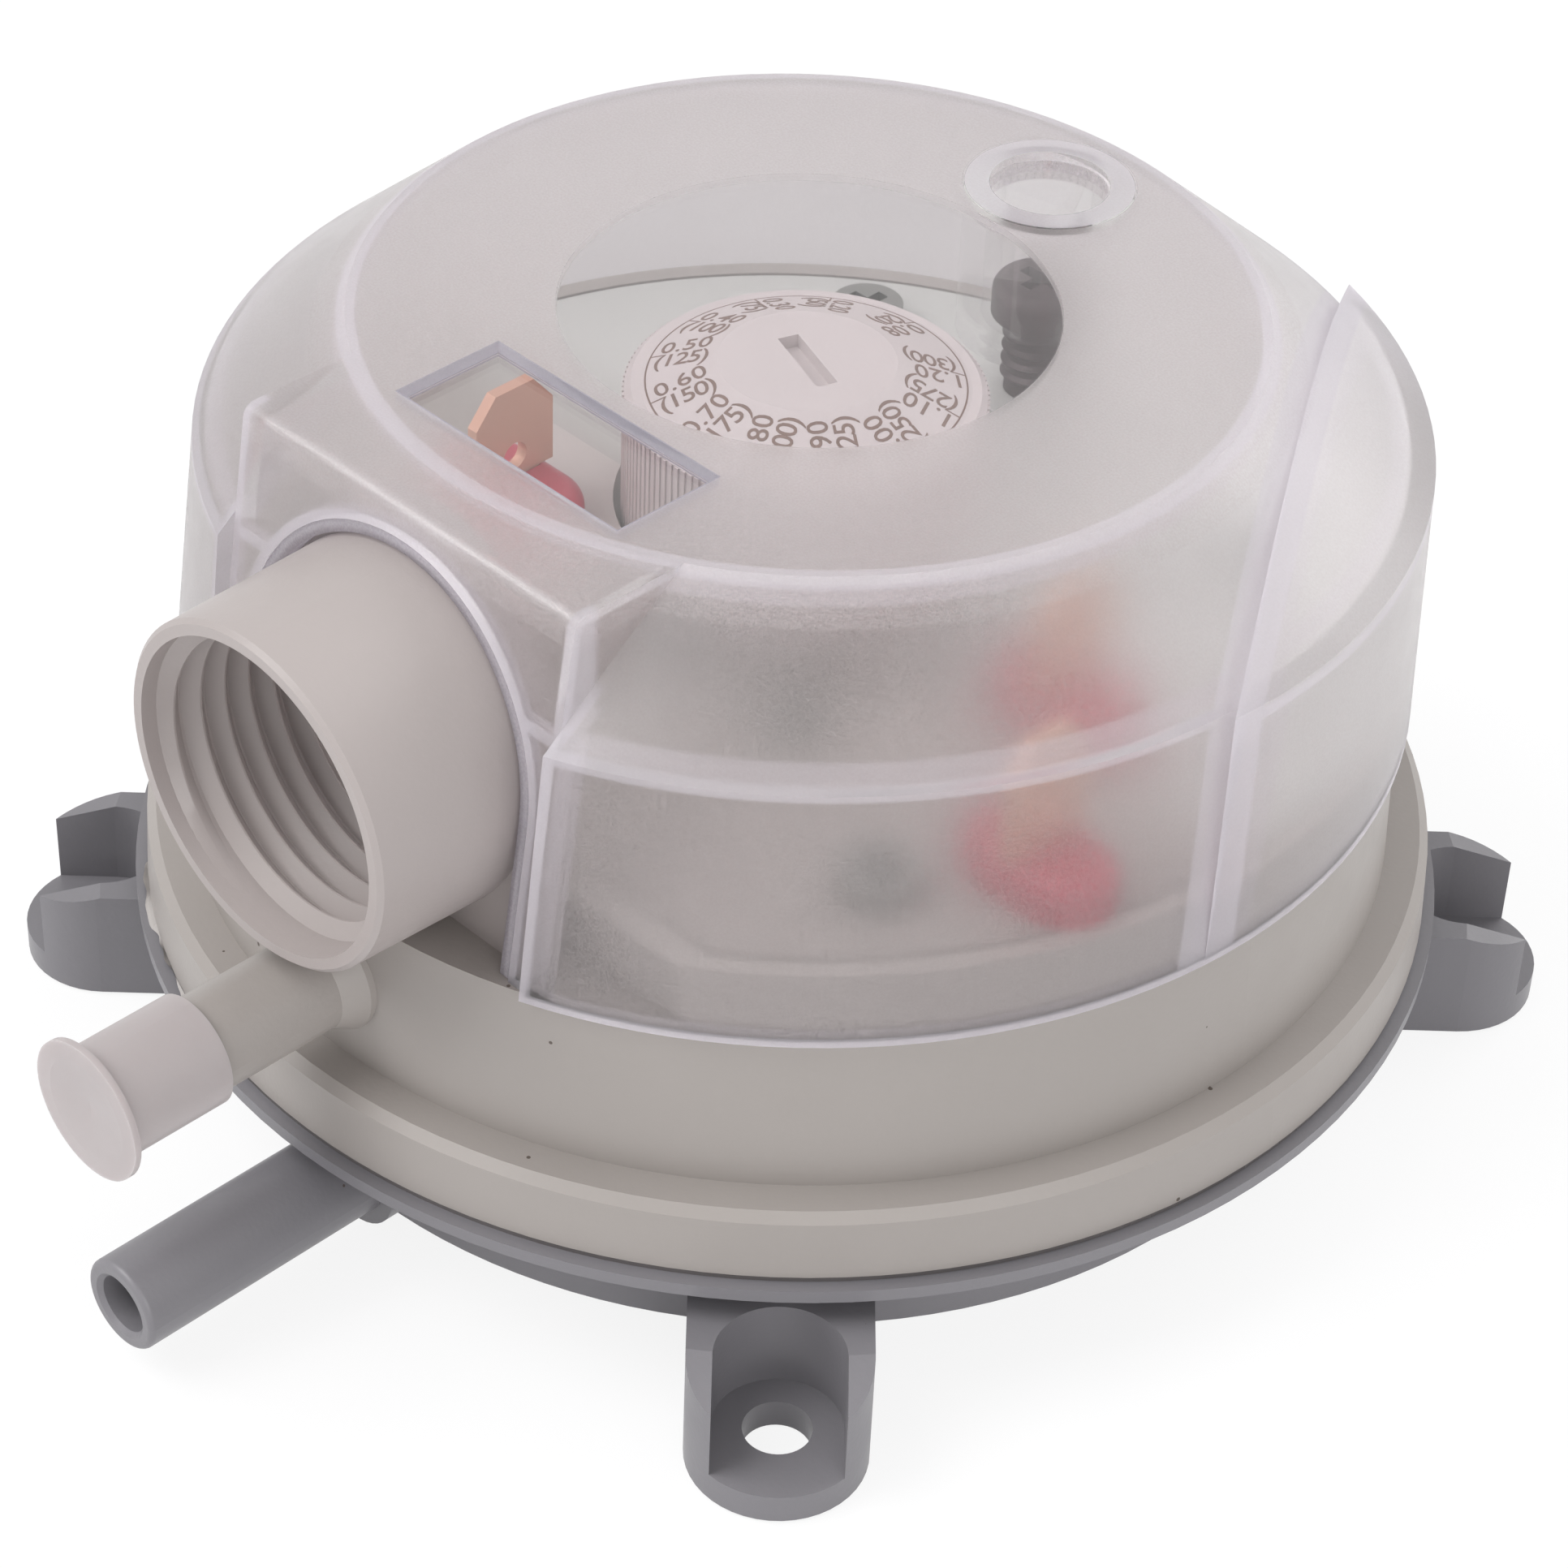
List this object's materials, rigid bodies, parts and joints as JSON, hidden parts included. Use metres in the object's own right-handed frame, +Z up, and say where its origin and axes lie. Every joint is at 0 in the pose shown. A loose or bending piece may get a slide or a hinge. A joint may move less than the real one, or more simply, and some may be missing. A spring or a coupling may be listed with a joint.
{
  "type": "differential pressure switch",
  "caption": "Round air differential pressure switch: grey base with slotted lugs, beige drum with hose nipples and threaded conduit entry, frosted clear cover over a setting dial and terminals.",
  "frame": {"origin": "on the axis of the round housing, at the underside of the base", "axes": "+Z up along the housing axis; the hose nipples and the conduit entry point along -Y; +X to the right seen from the front"},
  "size_m": [0.0864, 0.101, 0.0526],
  "materials": {
    "base_housing": "satin grey moulding",
    "base_screws": "zinc plated",
    "diaphragm": "thin translucent silicone",
    "diaphragm_lower_plate": "pressed sheet",
    "diaphragm_upper_plate": "pressed sheet",
    "push_pin": "turned plastic",
    "pin_seal": "moulded rubber",
    "spring_seat": "moulded plastic",
    "adjusting_spring": "spring wire",
    "upper_housing": "satin warm grey moulding",
    "conduit_hub": "satin warm grey moulding",
    "contact_carrier": "light grey moulding",
    "deck_screws": "zinc plated",
    "dial": "off-white with printed scale",
    "adjuster_nut": "turned brass",
    "trip_lever": "moulded plastic",
    "pivot_pin": "ground wire",
    "snap_blade": "copper alloy strip",
    "moving_contact": "silver contact rivet",
    "common_terminal": "copper coloured blade",
    "nc_terminal": "copper coloured blade",
    "no_terminal": "copper coloured blade",
    "common_base": "red plastic",
    "nc_base": "red plastic",
    "no_base": "red plastic",
    "cover": "frosted clear plastic with polished windows",
    "cover_screw": "dark plated",
    "nipple_cap": "soft translucent white plastic"
  },
  "bodies": {
    "housing": {"base_housing": "base_housing", "base_screws": "base_screws", "diaphragm": "diaphragm", "pin_seal": "pin_seal", "adjusting_spring": "adjusting_spring", "upper_housing": "upper_housing", "conduit_hub": "conduit_hub", "contact_carrier": "contact_carrier", "deck_screws": "deck_screws", "pivot_pin": "pivot_pin", "common_terminal": "common_terminal", "nc_terminal": "nc_terminal", "no_terminal": "no_terminal", "common_base": "common_base", "nc_base": "nc_base", "no_base": "no_base"},
    "diaphragm_stack": {"diaphragm_lower_plate": "diaphragm_lower_plate", "diaphragm_upper_plate": "diaphragm_upper_plate", "push_pin": "push_pin", "spring_seat": "spring_seat"},
    "lever": {"trip_lever": "trip_lever"},
    "contact_arm": {"snap_blade": "snap_blade", "moving_contact": "moving_contact"},
    "setting_dial": {"dial": "dial"},
    "spring_nut": {"adjuster_nut": "adjuster_nut"},
    "clear_cover": {"cover": "cover"},
    "captive_screw": {"cover_screw": "cover_screw"},
    "cap": {"nipple_cap": "nipple_cap"}
  },
  "joints": [
    {"name": "diaphragm_lift", "type": "slide", "parent": "housing", "child": "diaphragm_stack", "axis": [0, 0, 1], "range_m": [0, 0.0005], "stiffness_N_per_m": 200, "springref_m": -0.01, "deforming": ["diaphragm"]},
    {"name": "lever_rock", "type": "hinge", "parent": "housing", "child": "lever", "pos_m": [0, 0.0155, 0.0239], "axis": [-1, 0, 0], "range_deg": [0, 1.9]},
    {"name": "contact_swing", "type": "hinge", "parent": "housing", "child": "contact_arm", "pos_m": [-0.007, -0.015, 0.02535], "axis": [0, -1, 0], "range_deg": [0, 3.7]},
    {"name": "dial_turn", "type": "hinge", "parent": "housing", "child": "setting_dial", "pos_m": [0, 0, 0.0468], "axis": [0, 0, 1], "range_deg": [-160, 160]},
    {"name": "nut_travel", "type": "slide", "parent": "housing", "child": "spring_nut", "axis": [0, 0, 1], "range_m": [-0.0021, 0.0021], "deforming": ["adjusting_spring"]},
    {"name": "cover_lift", "type": "slide", "parent": "housing", "child": "clear_cover", "axis": [0, 0, 1], "range_m": [0, 0.03]},
    {"name": "cover_screw_turn", "type": "hinge", "parent": "clear_cover", "child": "captive_screw", "pos_m": [0, 0.02164, 0.0423], "axis": [0, 0, 1], "continuous": true},
    {"name": "cap_pull", "type": "slide", "parent": "housing", "child": "cap", "axis": [0, -1, 0], "range_m": [0, 0.02]}
  ],
  "couplings": [
    {"joint": "lever_rock", "follows": "diaphragm_lift", "rad_per_m": 64.516},
    {"joint": "contact_swing", "follows": "diaphragm_lift", "rad_per_m": 128},
    {"joint": "nut_travel", "follows": "dial_turn", "m_per_rad": 0.0007162}
  ]
}
